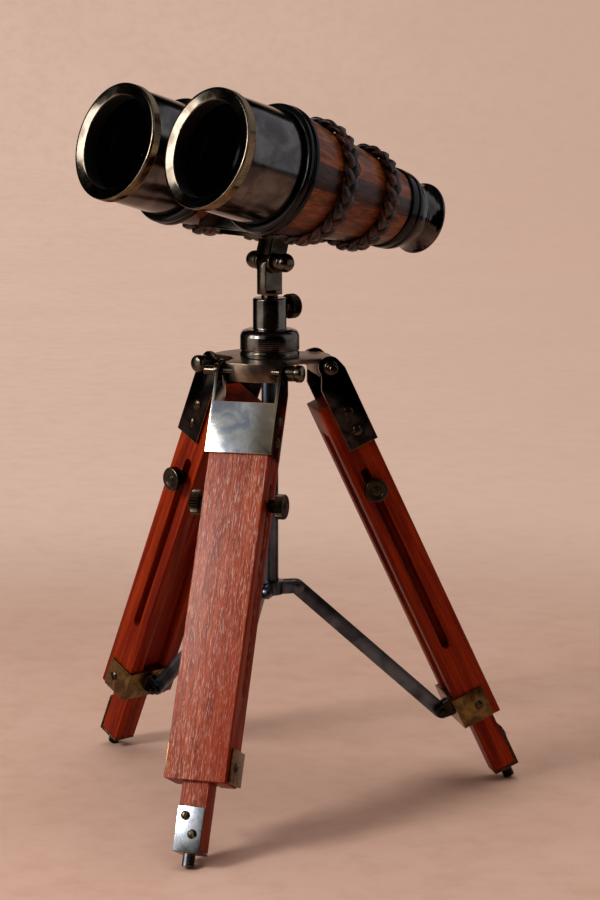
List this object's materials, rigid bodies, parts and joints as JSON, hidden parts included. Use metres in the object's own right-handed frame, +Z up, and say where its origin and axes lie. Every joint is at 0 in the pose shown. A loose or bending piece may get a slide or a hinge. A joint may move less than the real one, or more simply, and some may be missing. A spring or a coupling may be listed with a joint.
{
  "type": "field glasses on a tripod",
  "caption": "Table-top field glasses with two tapered inlaid barrels, on a folding wooden three-legged stand with sliding legs, a swivel and a tilting yoke.",
  "frame": {"origin": "on the ground, in the middle of the whole outline (bounding box); the stand's centre rod is 19.7 mm behind it, on +Y", "axes": "+Z up along the centre rod; leg 1 points to -Y; the glasses' objectives point 31.4 degrees from -Y towards -X and 16.5 degrees up"},
  "size_m": [0.2132, 0.1996, 0.3308],
  "materials": {
    "bronze": "dark aged bronze, worn lighter along the edges",
    "gunmetal": "polished dark gunmetal brown with blotchy patina",
    "aged_brass": "aged brass with a polished face and dark patina",
    "silvered_plate": "silvered plate with bluish blotches and brassy edges",
    "blued_steel": "dark blue-grey steel with brown patina",
    "knob_steel": "dark knurled steel",
    "black_lacquer": "glossy black lacquer over metal",
    "mahogany": "lacquered red-brown mahogany with fine open grain",
    "inlaid_wood": "alternating orange-brown and dark brown polished staves",
    "leather_cord": "three-strand plaited dark brown leather cord, worn reddish",
    "lens_glass": "clear coated lens that reads black"
  },
  "bodies": {
    "root": {"head_plate": "bronze", "stem_base": "gunmetal", "centre_rod": "gunmetal", "hinge_bolt_1": "bronze", "hinge_bolt_2": "bronze", "hinge_bolt_3": "bronze"},
    "lock": {"lock_screw": "knob_steel"},
    "hub": {"spider_hub": "blued_steel"},
    "swivel": {"swivel_post": "bronze"},
    "tilt_turn": {"tilt_knob": "bronze"},
    "focus": {"focus_shaft": "aged_brass"},
    "eyepieces": {"eyepiece_bridge": "gunmetal", "eyecup_right": "gunmetal", "eyecup_left": "gunmetal", "eye_lens_right": "lens_glass", "eye_lens_left": "lens_glass"},
    "glasses": {"yoke": "bronze", "tilt_bolt": "bronze", "front_bridge": "gunmetal", "rear_bridge": "gunmetal", "barrel_right": "inlaid_wood", "barrel_flange_right": "black_lacquer", "objective_tube_right": "gunmetal", "objective_ring_right": "aged_brass", "objective_lens_right": "lens_glass", "eyepiece_collar_right": "black_lacquer", "barrel_left": "inlaid_wood", "barrel_flange_left": "black_lacquer", "objective_tube_left": "gunmetal", "objective_ring_left": "aged_brass", "objective_lens_left": "lens_glass", "eyepiece_collar_left": "black_lacquer", "cord_band_right_1": "leather_cord", "cord_band_right_2": "leather_cord", "cord_band_left_1": "leather_cord", "cord_band_left_2": "leather_cord"},
    "leg_1": {"outer_leg_1": "mahogany", "leg_bracket_1": "silvered_plate", "leg_strap_1": "aged_brass"},
    "shin_1": {"inner_leg_1": "mahogany", "foot_1": "silvered_plate", "clamp_nut_1": "knob_steel"},
    "clamp_1": {"clamp_screw_1": "knob_steel"},
    "brace_1": {"brace_1": "blued_steel"},
    "leg_2": {"outer_leg_2": "mahogany", "leg_bracket_2": "silvered_plate", "leg_strap_2": "aged_brass"},
    "shin_2": {"inner_leg_2": "mahogany", "foot_2": "silvered_plate", "clamp_nut_2": "knob_steel"},
    "clamp_2": {"clamp_screw_2": "knob_steel"},
    "brace_2": {"brace_2": "blued_steel"},
    "leg_3": {"outer_leg_3": "mahogany", "leg_bracket_3": "silvered_plate", "leg_strap_3": "aged_brass"},
    "shin_3": {"inner_leg_3": "mahogany", "foot_3": "silvered_plate", "clamp_nut_3": "knob_steel"},
    "clamp_3": {"clamp_screw_3": "knob_steel"},
    "brace_3": {"brace_3": "blued_steel"}
  },
  "joints": [
    {"name": "leg_fold_1", "type": "hinge", "parent": "root", "child": "leg_1", "pos_m": [0, -0.00488, 0.20275], "axis": [1, 0, 0], "range_deg": [0, 20]},
    {"name": "leg_fold_2", "type": "hinge", "parent": "root", "child": "leg_2", "pos_m": [0.0213, 0.03202, 0.20275], "axis": [-0.5, 0.866, 0], "range_deg": [0, 20]},
    {"name": "leg_fold_3", "type": "hinge", "parent": "root", "child": "leg_3", "pos_m": [-0.0213, 0.03202, 0.20275], "axis": [-0.5, -0.866, 0], "range_deg": [0, 20]},
    {"name": "leg_extend_1", "type": "slide", "parent": "leg_1", "child": "shin_1", "axis": [0, -0.4248, -0.9053], "range_m": [0, 0.08]},
    {"name": "leg_extend_2", "type": "slide", "parent": "leg_2", "child": "shin_2", "axis": [0.3679, 0.2124, -0.9053], "range_m": [0, 0.08]},
    {"name": "leg_extend_3", "type": "slide", "parent": "leg_3", "child": "shin_3", "axis": [-0.3679, 0.2124, -0.9053], "range_m": [0, 0.08]},
    {"name": "clamp_turn_1", "type": "hinge", "parent": "shin_1", "child": "clamp_1", "pos_m": [0, -0.02549, 0.14614], "axis": [1, 0, 0], "range_deg": [-180, 180]},
    {"name": "clamp_turn_2", "type": "hinge", "parent": "shin_2", "child": "clamp_2", "pos_m": [0.03915, 0.04232, 0.14614], "axis": [-0.5, 0.866, 0], "range_deg": [-180, 180]},
    {"name": "clamp_turn_3", "type": "hinge", "parent": "shin_3", "child": "clamp_3", "pos_m": [-0.03915, 0.04232, 0.14614], "axis": [-0.5, -0.866, 0], "range_deg": [-180, 180]},
    {"name": "brace_swing_1", "type": "hinge", "parent": "leg_1", "child": "brace_1", "pos_m": [0, -0.06267, 0.0349], "axis": [1, 0, 0], "range_deg": [0, 22.71]},
    {"name": "brace_swing_2", "type": "hinge", "parent": "leg_2", "child": "brace_2", "pos_m": [0.07135, 0.06091, 0.0349], "axis": [-0.5, 0.866, 0], "range_deg": [0, 22.71]},
    {"name": "brace_swing_3", "type": "hinge", "parent": "leg_3", "child": "brace_3", "pos_m": [-0.07135, 0.06091, 0.0349], "axis": [-0.5, -0.866, 0], "range_deg": [0, 22.71]},
    {"name": "hub_slide", "type": "slide", "parent": "root", "child": "hub", "axis": [0, 0, 1], "range_m": [0, 0.02122]},
    {"name": "swivel_lock_turn", "type": "hinge", "parent": "root", "child": "lock", "pos_m": [0, 0.01972, 0.2286], "axis": [0.521, 0.8536, 0], "range_deg": [-180, 180]},
    {"name": "swivel_turn", "type": "hinge", "parent": "root", "child": "swivel", "pos_m": [0, 0.01972, 0.23], "axis": [0, 0, 1], "continuous": true},
    {"name": "tilt", "type": "hinge", "parent": "swivel", "child": "glasses", "pos_m": [0, 0.01972, 0.2501], "axis": [-0.8536, 0.521, 0], "range_deg": [-45, 35]},
    {"name": "tilt_knob_turn", "type": "hinge", "parent": "glasses", "child": "tilt_turn", "pos_m": [0, 0.01972, 0.2501], "axis": [0.8536, -0.521, 0], "range_deg": [-180, 180]},
    {"name": "focus_slide", "type": "slide", "parent": "glasses", "child": "eyepieces", "axis": [0.4997, 0.8186, -0.2833], "range_m": [0, 0.006]},
    {"name": "focus_turn", "type": "hinge", "parent": "glasses", "child": "focus", "pos_m": [0.00001, 0.01974, 0.28654], "axis": [-0.4997, -0.8186, 0.2833], "range_deg": [0, 365]}
  ],
  "couplings": [
    {"joint": "leg_fold_2", "follows": "leg_fold_1", "ratio": 1},
    {"joint": "leg_fold_3", "follows": "leg_fold_1", "ratio": 1},
    {"joint": "brace_swing_1", "follows": "leg_fold_1", "ratio": 1.1105},
    {"joint": "brace_swing_2", "follows": "leg_fold_1", "ratio": 1.1105},
    {"joint": "brace_swing_3", "follows": "leg_fold_1", "ratio": 1.1105},
    {"joint": "hub_slide", "follows": "leg_fold_1", "m_per_rad": 0.059371},
    {"joint": "focus_turn", "follows": "focus_slide", "rad_per_m": 1047.2}
  ]
}
